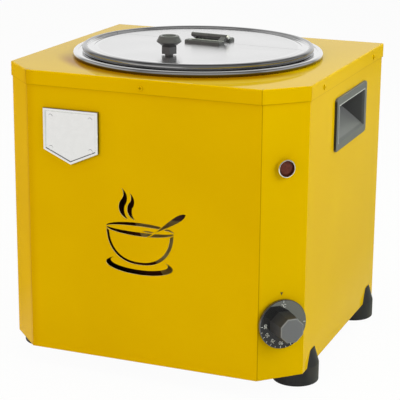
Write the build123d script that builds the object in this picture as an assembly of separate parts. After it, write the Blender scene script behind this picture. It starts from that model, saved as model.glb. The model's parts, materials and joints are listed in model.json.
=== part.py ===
from build123d import *
import os
from math import atan2, cos, pi, radians, sin, sqrt

# Counter-top soup warmer, millimetres. The origin is on the floor under the middle of the casing,
# +X is right and -Y is the front as the user stands before it, +Z is up.

# Casing of folded painted sheet, measured over the top cover
casing_width = 350.0
casing_depth = 325.0
body_height = 318.0  # from the casing's lower edge to the cover's top face
corner_cut = 40.0  # run of each front corner face along X and along Y
sheet = 1.0
bend_radius = 1.5  # outside of every fold
cover_skirt = 16.0
cover_fit = 0.3  # between the skirt and the casing inside it
skirt_slit = 0.5  # open joint between two neighbouring skirts
return_flange = 16.0  # turned in behind the rear panel
bottom_flange = 34.0  # turned in under the base plate
flange_relief = 6.0  # flange ends this far from a fold
plate_fit = 0.5  # round the base plate and the rear panel

# Feet of moulded rubber, a step under each side panel's lower edge
foot_height = 21.0  # floor to the casing's lower edge
foot_radius = 25.7
foot_inset = 18.7  # from the side panel's outer face in to the foot's axis
foot_rise = 18.0  # tongue outside the panel, above its lower edge
foot_top_radius = 20.2
foot_edge = 1.6
front_foot_setback = 74.5
rear_foot_setback = 26.5

# Soup pot, drawn stainless steel with a rolled bead
pot_radius = 125.0  # inside
pot_depth = 205.0  # below the cover's top face
pot_sheet = 1.0
pot_floor_radius = 14.0
flange_width = 11.5  # from the pot's inside to its bead
flange_height = 5.0
bead_width = 6.0
bead_height = 6.5

# Heating well that the pot hangs in
well_gap = 2.0
well_sheet = 1.0
well_floor_gap = 30.0  # between the pot's floor and the well's
well_hole_fit = 0.5

# Lid, two stainless halves on a hinge
lid_margin = 4.5  # between the lid's rim and the pot's bead
lid_rim_width = 6.0
lid_rim_height = 7.4
lid_rim_round = 2.6
lid_drop = 4.0  # rim top down to the ledge inside it
lid_step = 2.0  # ledge up to the plateau
lid_ledge = 7.0
lid_sheet = 1.0
lid_spigot_fit = 2.0
lid_spigot = 10.0
lid_split = 0.5
lid_turn = -5.0  # degrees that the loose lid is turned on the pot

# Lid hinge, knuckles on a pin above the lid
hinge_setback = 29.0  # pin behind the lid's middle
hinge_length = 45.0
hinge_lift = 6.9  # pin above the plateau
knuckle_radius = 2.6
knuckle_gap = 0.4
pin_radius = 1.3
pin_fit = 0.05
pin_head_radius = 2.3
pin_head = 2.0
leaf_width = 12.0
leaf_thickness = 3.8
leaf_corner = 1.6
leaf_bevel = 1.2
leaf_arm = 6.5
leaf_reach = 20.5  # pin to the leaf's far edge

# Lid knob
knob_setback = 71.0  # in front of the lid's middle
knob_radius = 14.0
knob_height = 21.5
knob_waist = 16.0  # across the flats of the hexagonal waist
knob_stem_radius = 4.5
knob_stem = 2.0
knob_waist_height = 7.8
knob_dish = 2.2
knob_brim = 5.2  # from the waist's top to the widest ring

# Thermostat and its dial on the right corner face
dial_height = 63.2  # above the casing's lower edge
dial_radius = 27.5
dial_thickness = 3.6
dial_gap = 2.0
grip_sides = 8
grip_flats = 30.0
grip_length = 22.0
grip_taper = 1.8
grip_edge = 1.2
shaft_radius = 3.0
shaft_flat = 1.0  # depth of the shaft's flat
shaft_fit = 0.05
shaft_in_knob = 15.0
shaft_in_body = 12.0
thermostat_width = 44.0
thermostat_depth = 30.0
bush_radius = 5.0
bush_stand = 0.8
bush_fit = 0.3
sensor_radius = 3.0
sensor_length = 80.0
sensor_lift = 33.0  # sensor above the thermostat's case
capillary_radius = 0.9
capillary_bend = 8.0

# Pilot lamp on the same corner face
lamp_drop = 84.0  # below the cover's top face
bezel_radius = 9.75
bezel_stand = 6.0
bezel_wall = 1.2
lens_recess = 2.6
lens_thickness = 2.4
lamp_barrel_radius = 6.0
lamp_barrel = 12.0
lamp_body_radius = 4.5
lamp_body_length = 30.0
lamp_nut_flats = 17.0
lamp_nut = 4.0
lamp_fit = 0.1

# Recessed handles in the side panels
handle_drop = 61.2  # below the cover's top face
handle_setback = 27.5  # behind the casing's middle
handle_length = 120.0
handle_width = 60.0
handle_bezel = 3.0
handle_corner = 5.0
grip_border = 9.0  # bezel's outer edge to the pocket
pocket_clear = 13.1  # between the pocket's end wall and the heating well
pocket_wall = 1.6
pocket_slope = 0.73  # rise of the pocket's floor for each millimetre inwards
pocket_fit = 0.4

# Shield badge on the front
badge_width = 65.3
badge_side = 46.0
badge_point = 14.6
badge_thickness = 3.5
badge_border = 2.6
badge_sink = 1.4
badge_left = 60.5  # from the casing's left side to the badge
badge_drop = 39.5  # below the cover's top face
rivet_radius = 1.7
rivet_inset = 9.0

# Bowl picture cut through the front
bowl_height = 153.3  # its rim above the casing's lower edge
bowl_shift = 1.7  # left of the front's middle
bowl_half = 40.2
bowl_depth = 40.0
bowl_fullness = 2.3  # 2 makes the bowl half an ellipse, more makes its sides steeper
bowl_steps = 24  # points along the bowl's line
bowl_wall = 3.6
bowl_floor = 3.0
bowl_lean = 0.5  # inner line shifted left, so that the right wall is broader
rim_rise = 7.6
rim_band = 4.2
rim_end = 1.6
rim_lift = 0.3  # the rim's hollow shifted up, so that its front band is broader
line_gap = 1.3  # metal left between two cuts
saucer_drop = 40.8  # below the rim line
saucer_shift = 0.8  # left of the bowl's middle
saucer_half = 39.6
saucer_rise = 10.6
saucer_band = 5.8
saucer_lift = 3.1
spoon_length = 42.4
spoon_width = 6.4
spoon_widest = 0.6  # part of the length from the lower end
spoon_slope = 34.8
spoon_from = 18.4
spoon_bowl_length = 14.0
spoon_bowl_width = 1.9
steam_height = 34.8
steam_gap = 10.0  # above the rim line
steam_left = 13.6
steam_step = 8.3
steam_shrink = 0.86

# Rear panel, gland and base
vent_length = 60.0
vent_width = 5.0
vent_pitch = 14.0
vent_rows = 6
vent_drop = 70.0
vent_spread = 90.0
gland_setback = 85.0  # from the casing's left side to the gland
gland_height = 55.0
gland_radius = 8.0
gland_bore = 4.0
gland_flats = 22.0
gland_stand = 11.0
gland_thread = 12.0
gland_nut = 5.0
terminal_length = 62.0
terminal_width = 22.0
terminal_height = 18.0
terminal_setback = 45.0
terminal_ways = 4

# Heating element under the well
element_ring = 75.0
element_radius = 4.0
element_fit = 0.05
element_leg = 24.0
element_gap = 30.0  # degrees left open between the two legs
clamp_width = 22.0
clamp_sheet = 3.0
stud_radius = 4.0
stud_fit = 0.1

# Fasteners
screw_radius = 1.5
screw_fit = 0.1
screw_head = 3.0
screw_head_height = 1.2
screw_length = 9.0
screw_slot = 0.9
foot_screw_length = 13.0
knob_screw_length = 10.0
cover_screw_drop = 9.4  # below the cover's top face
side_screw_span = 196.0
side_screw_setback = 20.0
rear_screw_margin = 18.0
base_screw_inset = 10.0
thermostat_screw_span = 28.0
lead_radius = 1.3
lead_bend = 9.0

# Places worked out from the sizes above
lower_edge = foot_height
top_face = foot_height + body_height
body_inset = sheet + cover_fit
side_face = casing_width / 2 - body_inset
front_face = casing_depth / 2 - body_inset
inner_side = side_face - sheet
inner_front = front_face - sheet
base_top = lower_edge + 2 * sheet
panel_outer = front_face + sheet
pot_outer = pot_radius + pot_sheet
bead_inner = pot_radius + flange_width
rim_radius = bead_inner + bead_width
well_inner = pot_outer + well_gap
well_outer = well_inner + well_sheet
well_floor = top_face - pot_depth - well_floor_gap
lid_radius = bead_inner - lid_margin
lid_seat = top_face + flange_height
lid_top = lid_seat + lid_rim_height
lid_ledge_top = lid_top - lid_drop
plateau = lid_ledge_top + lid_step
hinge_height = plateau + hinge_lift
lens_seat = bezel_stand - lens_recess - lens_thickness
element_middle = well_floor - element_fit - element_radius
clamp_low = element_middle - element_radius - element_fit - clamp_sheet
sensor_reach = well_outer + element_fit + sensor_radius
pocket_depth = side_face - pocket_wall - pocket_clear - well_outer
gland_side = casing_width / 2 - gland_setback
sensor_low = lower_edge + dial_height + thermostat_width / 2 + sensor_lift
terminal_place = (-gland_side, inner_front - terminal_setback)

# Working planes on the faces, local Y up and local Z out of the face
front = Plane((0, -front_face, lower_edge), x_dir=(1, 0, 0), z_dir=(0, -1, 0))
rear = Plane((0, panel_outer, lower_edge), x_dir=(-1, 0, 0), z_dir=(0, 1, 0))
right_side = Plane((side_face, 0, lower_edge), x_dir=(0, 1, 0), z_dir=(1, 0, 0))
left_side = Plane((-side_face, 0, lower_edge), x_dir=(0, -1, 0), z_dir=(-1, 0, 0))
corner_out = (1 / sqrt(2), -1 / sqrt(2), 0)
corner_along = (1 / sqrt(2), 1 / sqrt(2), 0)
corner_middle = Vector((casing_width - corner_cut) / 2, (corner_cut - casing_depth) / 2, lower_edge)
corner_middle -= Vector(*corner_out) * body_inset


def corner_plane(height):
    return Plane(corner_middle + Vector(0, 0, height), x_dir=corner_along, z_dir=corner_out)


dial_plane = corner_plane(dial_height)
lamp_plane = corner_plane(body_height - lamp_drop)
gland_plane = rear * Pos(gland_side, gland_height, 0)
hinge_axis = Plane((0, hinge_setback, hinge_height), x_dir=(0, 1, 0), z_dir=(1, 0, 0))
sensor_turn = atan2(corner_middle.Y, corner_middle.X)
sensor_place = Pos(sensor_reach * cos(sensor_turn), sensor_reach * sin(sensor_turn), 0)


# Helpers for sheet outlines, turned pieces, plates and rods
def outline(inset, radius):
    half_x = casing_width / 2 - inset
    half_y = casing_depth / 2 - inset
    cut = corner_cut - (2 - sqrt(2)) * inset
    corners = [
        (-half_x, half_y),
        (-half_x, cut - half_y),
        (cut - half_x, -half_y),
        (half_x - cut, -half_y),
        (half_x, cut - half_y),
        (half_x, half_y),
    ]
    return make_face(FilletPolyline(*corners, radius=radius, close=True))


def prism(face, bottom, height):
    return Pos(0, 0, bottom) * extrude(face, amount=height)


def block(low, high):
    size = [high[i] - low[i] for i in range(3)]
    middle = [(high[i] + low[i]) / 2 for i in range(3)]
    return Pos(*middle) * Box(*size)


def turned(points):
    path = [(p[0], 0, p[1]) for p in points]
    radii = [p[2] if len(p) > 2 else 0 for p in points]
    profile = make_face(FilletPolyline(*path, radius=radii, close=True))
    return revolve(profile, axis=Axis.Z)


def rod(radius, low, high):
    return Pos(0, 0, low) * Cylinder(radius, high - low, align=(Align.CENTER, Align.CENTER, Align.MIN))


def hexagon(flats, low, high):
    face = RegularPolygon(flats / 2, 6, major_radius=False)
    return Pos(0, 0, low) * extrude(face, amount=high - low)


def bent_rod(points, radius, bend):
    path = FilletPolyline(*points, radius=bend)
    start = Plane(path @ 0, z_dir=path % 0)
    return sweep(start * Circle(radius), path=path)


def screw(length):
    head = rod(screw_head, 0, screw_head_height)
    head = fillet(head.edges().sort_by(Axis.Z)[-1], screw_head_height * 0.6)
    slot = Pos(0, 0, screw_head_height) * Box(screw_head * 1.1, screw_slot, screw_head_height)
    cross = Rot(0, 0, 90) * slot
    return head + rod(screw_radius, -length, 0) - slot - cross


def screw_hole(length):
    return rod(screw_radius + screw_fit, -length, length)


def group(shape, places):
    return Compound([place * shape for place in places])


# Places of the fasteners, each a plane on the face that the screw's head sits on
def on(plane, across, up, stand=0.0):
    return plane * Pos(across, up, stand)


def floor_plane(x, y, z, up):
    return Plane((x, y, z), x_dir=(1, 0, 0), z_dir=(0, 0, up))


skirt_line = body_height - cover_screw_drop
flange_line = side_face - return_flange / 2
cover_screw_places = [on(front, 0, skirt_line, body_inset)]
for end in (-1, 1):
    along = side_screw_setback + end * side_screw_span / 2
    cover_screw_places.append(on(right_side, along, skirt_line, body_inset))
    cover_screw_places.append(on(left_side, -along, skirt_line, body_inset))
    cover_screw_places.append(on(rear, end * flange_line, skirt_line, casing_depth / 2 - panel_outer))

panel_low = plate_fit
panel_high = body_height - cover_skirt - plate_fit
rear_screw_places = []
for side in (-1, 1):
    for up in (panel_low + rear_screw_margin, (panel_low + panel_high) / 2, panel_high - rear_screw_margin):
        rear_screw_places.append(on(rear, side * flange_line, up))

base_screw_places = [floor_plane(0, base_screw_inset - inner_front, lower_edge, -1)]
for side in (-1, 1):
    across = side * (inner_side - base_screw_inset)
    base_screw_places.append(floor_plane(across, side_screw_setback, lower_edge, -1))

foot_places = {}
for side_name, side in (("left", -1), ("right", 1)):
    foot_x = side * (side_face - foot_inset)
    foot_places["front_" + side_name + "_foot"] = (foot_x, front_foot_setback - casing_depth / 2)
    foot_places["rear_" + side_name + "_foot"] = (foot_x, casing_depth / 2 - rear_foot_setback)
foot_screw_places = [floor_plane(x, y, base_top, 1) for x, y in foot_places.values()]

thermostat_screw_places = [on(dial_plane, side * thermostat_screw_span / 2, 0) for side in (-1, 1)]

badge_from = badge_left - casing_width / 2
badge_to = badge_from + badge_width
badge_top = body_height - badge_drop
badge_low = badge_top - badge_side
badge_face = badge_thickness - badge_sink
rivet_places = []
for across in (badge_from + rivet_inset, badge_to - rivet_inset):
    for up in (badge_top - rivet_inset, badge_low + rivet_inset / 4):
        rivet_places.append(on(front, across, up, badge_face))


# Bowl picture, drawn on the front face with the casing's lower edge at zero
def leaf(length, width):
    upper = ThreePointArc((-length / 2, 0), (0, width / 2), (length / 2, 0))
    lower = ThreePointArc((length / 2, 0), (0, -width / 2), (-length / 2, 0))
    return make_face([upper, lower])


def spoon_line(length, width):
    widest = (spoon_widest * length, width / 2)
    upper = Spline((0, 0), widest, (length, 0), tangents=((1, 0.13), (0.9, -1)))
    return make_face([upper, mirror(upper, Plane.XZ)])


def bowl_line(half, depth):
    power = 2 / bowl_fullness
    right = []
    for step in range(bowl_steps // 2):
        angle = pi * step / bowl_steps
        right.append((half * cos(angle) ** power, -depth * sin(angle) ** power))
    left = [(-x, y) for x, y in reversed(right)]
    line = Spline(*right, (0, -depth), *left, tangents=((0, -1), (0, 1)))
    return make_face([line, Line(left[-1], right[0])])


def steam(height):
    tip = (-0.23 * height, height)
    right_waist = (-0.11 * height, 0.44 * height)
    left_waist = (-0.25 * height, 0.6 * height)
    edges = [
        ThreePointArc((0, 0), (-0.13 * height, 0.25 * height), right_waist),
        ThreePointArc(right_waist, (-0.035 * height, 0.7 * height), tip),
        ThreePointArc(tip, (-0.165 * height, 0.8 * height), left_waist),
        ThreePointArc(left_waist, (-0.32 * height, 0.33 * height), (0, 0)),
    ]
    return make_face(edges)


def bowl_picture():
    rim = Ellipse(bowl_half, rim_rise) - Pos(0, rim_lift) * Ellipse(bowl_half - rim_end, rim_rise - rim_band)
    rim -= Rectangle(2 * bowl_half + line_gap, line_gap)
    spoon_place = Pos(spoon_from, -line_gap) * Rot(0, 0, spoon_slope)
    spoon = spoon_place * spoon_line(spoon_length, spoon_width)
    spoon_room = spoon_line(spoon_length + 6 * line_gap, spoon_width + 2 * line_gap)
    rim -= spoon_place * Pos(-3 * line_gap, 0) * spoon_room
    rim -= spoon_place * Pos(-spoon_length / 4, 0) * Rectangle(spoon_length / 2, line_gap)
    spoon_bowl = Pos(spoon_from - spoon_bowl_length / 2 - line_gap, -line_gap)
    spoon_bowl = spoon_bowl * leaf(spoon_bowl_length, spoon_bowl_width)
    outer_half = bowl_half - line_gap / 2
    bowl = bowl_line(outer_half, bowl_depth)
    bowl -= Pos(-bowl_lean, 0) * bowl_line(outer_half - bowl_wall, bowl_depth - bowl_floor)
    bowl -= Ellipse(bowl_half + line_gap, rim_rise + line_gap)
    saucer = Ellipse(saucer_half, saucer_rise)
    hollow_rise = saucer_rise - saucer_band + saucer_lift
    saucer -= Pos(0, saucer_lift) * Ellipse(saucer_half - saucer_band, hollow_rise)
    picture = rim + spoon + spoon_bowl + bowl + Pos(-saucer_shift, -saucer_drop) * saucer
    for step in (0, 1):
        plume = steam(steam_height * steam_shrink**step)
        picture += Pos(step * steam_step - steam_left, steam_gap) * plume
    return Pos(-bowl_shift, bowl_height) * picture


# Casing
def rounded_slot(length, width, depth):
    return extrude(SlotOverall(length, width), amount=depth, both=True)


def pocket_window(grow):
    length = handle_length - 2 * grip_border + 2 * grow
    width = handle_width - 2 * grip_border + 2 * grow
    return length, width


def handle_plane(side):
    plane = right_side if side > 0 else left_side
    return on(plane, side * handle_setback, body_height - handle_drop)


def make_casing_wrap():
    height = body_height - sheet
    wrap = prism(outline(body_inset, bend_radius), lower_edge, height)
    wrap -= prism(outline(body_inset + sheet, bend_radius - sheet), lower_edge, height)
    gap = side_face - return_flange
    wrap -= block((-gap, inner_front - sheet, 0), (gap, front_face + sheet, 2 * top_face))
    fold = corner_cut - (2 - sqrt(2)) * body_inset + flange_relief
    flange_top = lower_edge + sheet
    across = side_face - fold
    wrap += block((-across, -inner_front, lower_edge), (across, bottom_flange - inner_front, flange_top))
    for side in (-1, 1):
        edge = sorted((side * inner_side, side * (inner_side - bottom_flange)))
        wrap += block((edge[0], fold - front_face, lower_edge), (edge[1], inner_front, flange_top))
        length, width = pocket_window(pocket_wall + pocket_fit)
        wrap -= handle_plane(side) * Box(length, width, 4 * sheet)
    wrap -= front * extrude(bowl_picture(), amount=2 * sheet, both=True)
    wrap -= lamp_plane * rod(lamp_barrel_radius + lamp_fit, -2 * sheet, sheet)
    wrap -= dial_plane * rod(bush_radius + bush_fit, -2 * sheet, sheet)
    drilled = cover_screw_places + rear_screw_places + base_screw_places + foot_screw_places
    for place in drilled + thermostat_screw_places:
        wrap -= place * screw_hole(4 * sheet)
    for place in rivet_places:
        wrap -= place * rod(rivet_radius + screw_fit, -badge_thickness - 2 * sheet, 0)
    return wrap


def make_top_cover():
    cover = prism(outline(0, bend_radius), top_face - cover_skirt, cover_skirt)
    cover = fillet(cover.faces().sort_by(Axis.Z)[-1].edges(), bend_radius)
    cover -= prism(outline(sheet, bend_radius - sheet), top_face - cover_skirt, cover_skirt - sheet)
    cover -= rod(well_outer + well_hole_fit, top_face - 2 * sheet, top_face + sheet)
    for side in (-1, 1):
        corner = (side * casing_width / 2, corner_cut - casing_depth / 2)
        slit = block((-2 * sheet, 0, 0), (2 * sheet, skirt_slit, cover_skirt - 2 * bend_radius))
        cover -= Pos(corner[0], corner[1], top_face - cover_skirt) * slit
    for place in cover_screw_places:
        cover -= place * screw_hole(2 * sheet)
    return cover


def make_rear_panel():
    half = side_face - plate_fit
    panel = block((-half, front_face, lower_edge + panel_low), (half, panel_outer, lower_edge + panel_high))
    for row in range(vent_rows):
        for side in (-1, 1):
            up = body_height - vent_drop - row * vent_pitch
            panel -= on(rear, side * vent_spread, up) * rounded_slot(vent_length, vent_width, 2 * sheet)
    panel -= gland_plane * rod(gland_radius + screw_fit, -2 * sheet, sheet)
    for place in rear_screw_places:
        panel -= place * screw_hole(2 * sheet)
    return panel


def make_base_plate():
    plate = prism(outline(body_inset + sheet + plate_fit, 0), lower_edge + sheet, sheet)
    for row in range(vent_rows):
        along = (row - (vent_rows - 1) / 2) * vent_pitch
        plate -= Pos(0, along, lower_edge + sheet) * rounded_slot(vent_length, vent_width, 2 * sheet)
    for place in base_screw_places + foot_screw_places:
        plate -= place * screw_hole(4 * sheet)
    return plate


# Feet, stepped under the flange and outside the side panel
def make_foot(x, y):
    rise = foot_height + foot_rise
    body = turned(
        [
            (0, 0),
            (foot_radius, 0, foot_edge),
            (foot_radius, foot_height, foot_edge),
            (foot_top_radius, rise, foot_edge / 2),
            (0, rise),
        ]
    )
    side = 1 if x > 0 else -1
    edge = sorted((side * foot_inset, -2 * side * foot_radius))
    body -= block((edge[0], -2 * foot_radius, foot_height), (edge[1], 2 * foot_radius, 2 * rise))
    body -= rod(screw_radius + screw_fit, foot_height - foot_screw_length, 2 * foot_height)
    return Pos(x, y, 0) * body


# Pot, well and element
def make_soup_pot():
    floor = top_face - pot_depth
    under = top_face + flange_height - pot_sheet
    return turned(
        [
            (0, floor),
            (pot_outer, floor, pot_floor_radius),
            (pot_outer, under, 1.5 * pot_sheet),
            (bead_inner, under),
            (bead_inner, top_face, bead_width * 0.15),
            (rim_radius, top_face, bead_width * 0.35),
            (rim_radius, top_face + bead_height, bead_width * 0.45),
            (bead_inner, top_face + bead_height, (bead_height - flange_height) * 0.8),
            (bead_inner, top_face + flange_height),
            (pot_radius, top_face + flange_height, 2.5 * pot_sheet),
            (pot_radius, floor + pot_sheet, pot_floor_radius - pot_sheet),
            (0, floor + pot_sheet),
        ]
    )


def make_heating_well():
    flange = bead_inner - well_gap / 2
    well = turned(
        [
            (0, well_floor),
            (well_outer, well_floor, pot_floor_radius),
            (well_outer, top_face),
            (flange, top_face),
            (flange, top_face + well_sheet),
            (well_inner, top_face + well_sheet, 2 * well_sheet),
            (well_inner, well_floor + well_sheet, pot_floor_radius - well_sheet),
            (0, well_floor + well_sheet),
        ]
    )
    return well + rod(stud_radius, clamp_low - stud_radius * 3, well_floor)


def element_end(side):
    turn = radians(side * element_gap / 2 - 90)
    return element_ring * cos(turn), element_ring * sin(turn)


def make_heating_element():
    section = Pos(element_ring, 0) * Circle(element_radius)
    ring = revolve(Plane.XZ * section, axis=Axis.Z, revolution_arc=360 - element_gap)
    ring = Pos(0, 0, element_middle) * Rot(0, 0, element_gap / 2 - 90) * ring
    for side in (-1, 1):
        x, y = element_end(side)
        ring += Pos(x, y, element_middle) * Sphere(element_radius)
        ring += Pos(x, y, 0) * rod(element_radius, element_middle - element_leg, element_middle)
    return ring


def make_element_clamp():
    half = element_ring + 3 * element_radius
    bar = block((-half, -clamp_width / 2, clamp_low), (half, clamp_width / 2, clamp_low + clamp_sheet))
    return bar - rod(stud_radius + stud_fit, clamp_low - clamp_sheet, clamp_low + 2 * clamp_sheet)


def make_clamp_nut():
    low = clamp_low - 2 * stud_radius
    return hexagon(4 * stud_radius, low, clamp_low) - rod(stud_radius + stud_fit, low, clamp_low)


# Lid, made whole and parted along the hinge
def make_lid():
    rim_in = lid_radius - lid_rim_width
    ledge_in = rim_in - lid_ledge
    under = lid_ledge_top - lid_sheet
    spigot_out = pot_radius - lid_spigot_fit
    spigot_in = spigot_out - lid_sheet
    soft = 0.4 * lid_sheet
    return turned(
        [
            (0, plateau),
            (ledge_in - lid_step, plateau, lid_sheet),
            (ledge_in, lid_ledge_top, soft),
            (rim_in, lid_ledge_top, soft),
            (rim_in, lid_top, lid_rim_round),
            (lid_radius, lid_top, lid_rim_round),
            (lid_radius, lid_seat, lid_rim_round),
            (rim_in, lid_seat, lid_rim_round / 2),
            (rim_in, under),
            (spigot_out, under),
            (spigot_out, under - lid_spigot),
            (spigot_in, under - lid_spigot),
            (spigot_in, under),
            (ledge_in - soft, under),
            (ledge_in - lid_step - soft, plateau - lid_sheet),
            (0, plateau - lid_sheet),
        ]
    )


def lid_half(lid, side):
    far = 2 * lid_radius
    near = hinge_setback - side * lid_split / 2
    edge = sorted((near, side * far))
    return lid - block((-far, edge[0], 0), (far, edge[1], 2 * top_face))


def make_front_leaf():
    half = hinge_length / 2
    far = hinge_setback - leaf_reach
    near = far + leaf_width
    leaf_top = plateau + leaf_thickness
    plate = block((-half, far, plateau), (half, near, leaf_top))
    plate = fillet(plate.edges().filter_by(Axis.Z), leaf_corner)
    plate = chamfer(plate.faces().sort_by(Axis.Z)[-1].edges(), leaf_bevel)
    arm_corners = [
        (near - leaf_thickness, plateau),
        (near - leaf_thickness, leaf_top),
        (hinge_setback, hinge_height + knuckle_radius / 2),
        (hinge_setback, hinge_height - knuckle_radius * 0.9),
        (near, plateau),
    ]
    arm_face = make_face(Polyline(*[(0, y, z) for y, z in arm_corners], close=True))
    arm = Pos(half - leaf_arm, 0, 0) * extrude(arm_face, amount=leaf_arm, dir=(1, 0, 0))
    knuckle = hinge_axis * rod(knuckle_radius, knuckle_gap / 2, half)
    body = plate + arm + knuckle - hinge_axis * rod(pin_radius + pin_fit, 0, half)
    for place in hinge_screw_places(1):
        body -= place * rod(screw_radius + screw_fit, -leaf_thickness * 0.8 - lid_sheet, 0)
    return body


def make_rear_leaf():
    return Pos(0, hinge_setback, 0) * Rot(0, 0, 180) * Pos(0, -hinge_setback, 0) * make_front_leaf()


def make_hinge_pin():
    half = hinge_length / 2
    pin = rod(pin_radius, -half, half + knuckle_gap)
    head = rod(pin_head_radius, half + knuckle_gap, half + knuckle_gap + pin_head)
    head = fillet(head.edges().sort_by(Axis.Z)[-1], pin_head / 3)
    return hinge_axis * (pin + head + rod(pin_head_radius, -half - knuckle_gap, -half))


def hinge_screw_places(side):
    across = hinge_length / 2 - leaf_width / 2
    along = hinge_setback - side * (leaf_reach - leaf_width / 2)
    return [floor_plane(end * across, along, plateau - lid_sheet, -1) for end in (-1, 1)]


def make_lid_knob():
    waist_low = plateau + knob_stem
    waist_top = waist_low + knob_waist_height
    brim = waist_top + knob_brim
    top = plateau + knob_height
    stem = rod(knob_stem_radius, plateau, waist_top)
    waist = hexagon(knob_waist, waist_low, waist_top)
    cap = turned(
        [
            (0, waist_low),
            (knob_waist * 0.45, waist_low),
            (knob_waist * 0.45, waist_top, knob_stem / 2),
            (knob_radius, brim, knob_stem / 2),
            (knob_radius * 0.76, top, knob_stem / 2),
            (knob_radius * 0.6, top, knob_stem / 2),
            (knob_radius * 0.4, top - knob_dish, knob_stem / 2),
            (0, top - knob_dish),
        ]
    )
    knob = stem + waist + cap
    knob -= rod(screw_radius + screw_fit, plateau, plateau + knob_screw_length)
    return Pos(0, -knob_setback, 0) * knob


# Thermostat, dial and sensor
def shaft_section(radius):
    flat = Pos(radius - shaft_flat + shaft_radius, 0) * Rectangle(2 * shaft_radius, 4 * shaft_radius)
    return Circle(radius) - flat


def grip_outline(half_flats):
    return RegularPolygon(half_flats, grip_sides, major_radius=False, rotation=180 / grip_sides)


def make_thermostat_knob():
    back = dial_gap
    face = dial_gap + dial_thickness
    disc = rod(dial_radius, back, face)
    disc = fillet(disc.edges().sort_by(Axis.Z)[-1], dial_thickness / 4)
    base = grip_outline(grip_flats / 2)
    top = grip_outline(grip_flats / 2 - grip_taper)
    grip = loft([Pos(0, 0, face) * base, Pos(0, 0, face + grip_length) * top])
    grip = chamfer(grip.faces().sort_by(Axis.Z)[-1].edges(), grip_edge)
    knob = disc + grip
    knob -= Pos(0, 0, back) * extrude(shaft_section(shaft_radius + shaft_fit), amount=shaft_in_knob)
    return dial_plane * knob


def make_thermostat_shaft():
    inside = -sheet - shaft_in_body
    round_part = rod(shaft_radius, inside, dial_gap)
    flat_part = Pos(0, 0, dial_gap) * extrude(shaft_section(shaft_radius), amount=shaft_in_knob - shaft_fit)
    return dial_plane * (round_part + flat_part)


def make_thermostat_body():
    half = thermostat_width / 2
    body = block((-half, -half, -sheet - thermostat_depth), (half, half, -sheet))
    body = fillet(body.edges().filter_by(Axis.Z), screw_radius)
    body += rod(bush_radius, -sheet, bush_stand)
    body -= rod(shaft_radius + shaft_fit, -sheet - shaft_in_body - shaft_fit, sheet + bush_stand)
    body = dial_plane * body
    for place in thermostat_screw_places:
        body -= place * screw_hole(screw_length + screw_fit)
    return body


def make_sensor_bulb():
    bulb = rod(sensor_radius, sensor_low, sensor_low + sensor_length)
    return sensor_place * fillet(bulb.edges(), sensor_radius / 2)


def make_bulb_clip():
    middle = sensor_low + sensor_length / 2
    ring = rod(2 * sensor_radius, middle - sensor_radius, middle + sensor_radius)
    ring -= rod(sensor_radius + element_fit, sensor_low, sensor_low + sensor_length)
    return sensor_place * ring - rod(well_outer + element_fit / 2, 0, top_face)


def make_capillary_tube():
    top = (dial_plane * Pos(0, thermostat_width / 2, -sheet - thermostat_depth / 2)).position
    bulb = sensor_place.position + Vector(0, 0, sensor_low)
    half_way = Vector(0, 0, sensor_lift / 2)
    points = [bulb, bulb - half_way, top + half_way, top]
    return bent_rod(points, capillary_radius, capillary_bend)


# Pilot lamp
def make_lamp_bezel():
    bore = lamp_body_radius + lamp_fit
    mouth = bezel_radius - bezel_wall
    bezel = turned(
        [
            (bore, -sheet - lamp_barrel),
            (lamp_barrel_radius, -sheet - lamp_barrel),
            (lamp_barrel_radius, 0),
            (bezel_radius, 0),
            (bezel_radius, bezel_stand, bezel_wall * 0.6),
            (mouth, bezel_stand, bezel_wall * 0.2),
            (mouth, lens_seat),
            (bore, lens_seat),
        ]
    )
    return lamp_plane * bezel


def make_lamp_lens():
    radius = bezel_radius - bezel_wall - lamp_fit
    lens_top = lens_seat + lens_thickness
    lens = turned(
        [
            (0, lens_seat),
            (radius, lens_seat),
            (radius, lens_seat + lens_thickness / 2, lens_thickness / 5),
            (radius * 0.72, lens_top, lens_thickness / 2),
            (0, lens_top),
        ]
    )
    return lamp_plane * lens


def make_lamp_body():
    return lamp_plane * rod(lamp_body_radius, -sheet - lamp_body_length, lens_seat)


def make_lamp_nut():
    nut = hexagon(lamp_nut_flats, -sheet - lamp_nut, -sheet)
    return lamp_plane * (nut - rod(lamp_barrel_radius + lamp_fit, -2 * lamp_barrel, lamp_barrel))


# Handles
def pocket(grow, mouth, floor_start):
    length, width = pocket_window(grow)
    deep = -pocket_depth - grow
    corners = [
        (mouth, -width / 2),
        (mouth, width / 2),
        (deep, width / 2),
        (deep, pocket_slope * (pocket_depth + floor_start) - width / 2),
        (floor_start, -width / 2),
    ]
    section = make_face(Polyline(*corners, close=True))
    upright = Plane((0, 0, 0), x_dir=(0, 0, 1), z_dir=(-1, 0, 0))
    return upright * extrude(section, amount=length / 2, both=True)


def make_handle_cup(side):
    bezel = extrude(RectangleRounded(handle_length, handle_width, handle_corner), amount=handle_bezel)
    bezel = fillet(bezel.faces().sort_by(Axis.Z)[-1].edges(), handle_bezel / 3)
    cup = bezel + pocket(pocket_wall, 0, 0) - pocket(0, 2 * handle_bezel, handle_bezel)
    return handle_plane(side) * cup


# Badge
def make_badge_plate():
    corners = [
        (badge_from, badge_top),
        (badge_to, badge_top),
        (badge_to, badge_low),
        ((badge_from + badge_to) / 2, badge_low - badge_point),
        (badge_from, badge_low),
    ]
    shield = make_face(Polyline(*corners, close=True))
    panel = offset(shield, amount=-badge_border, kind=Kind.INTERSECTION)
    plate = extrude(shield, amount=badge_thickness)
    plate -= Pos(0, 0, badge_face) * extrude(panel, amount=badge_thickness)
    plate = front * plate
    for place in rivet_places:
        plate -= place * rod(rivet_radius + screw_fit, -badge_thickness, badge_thickness)
    return plate


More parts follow.
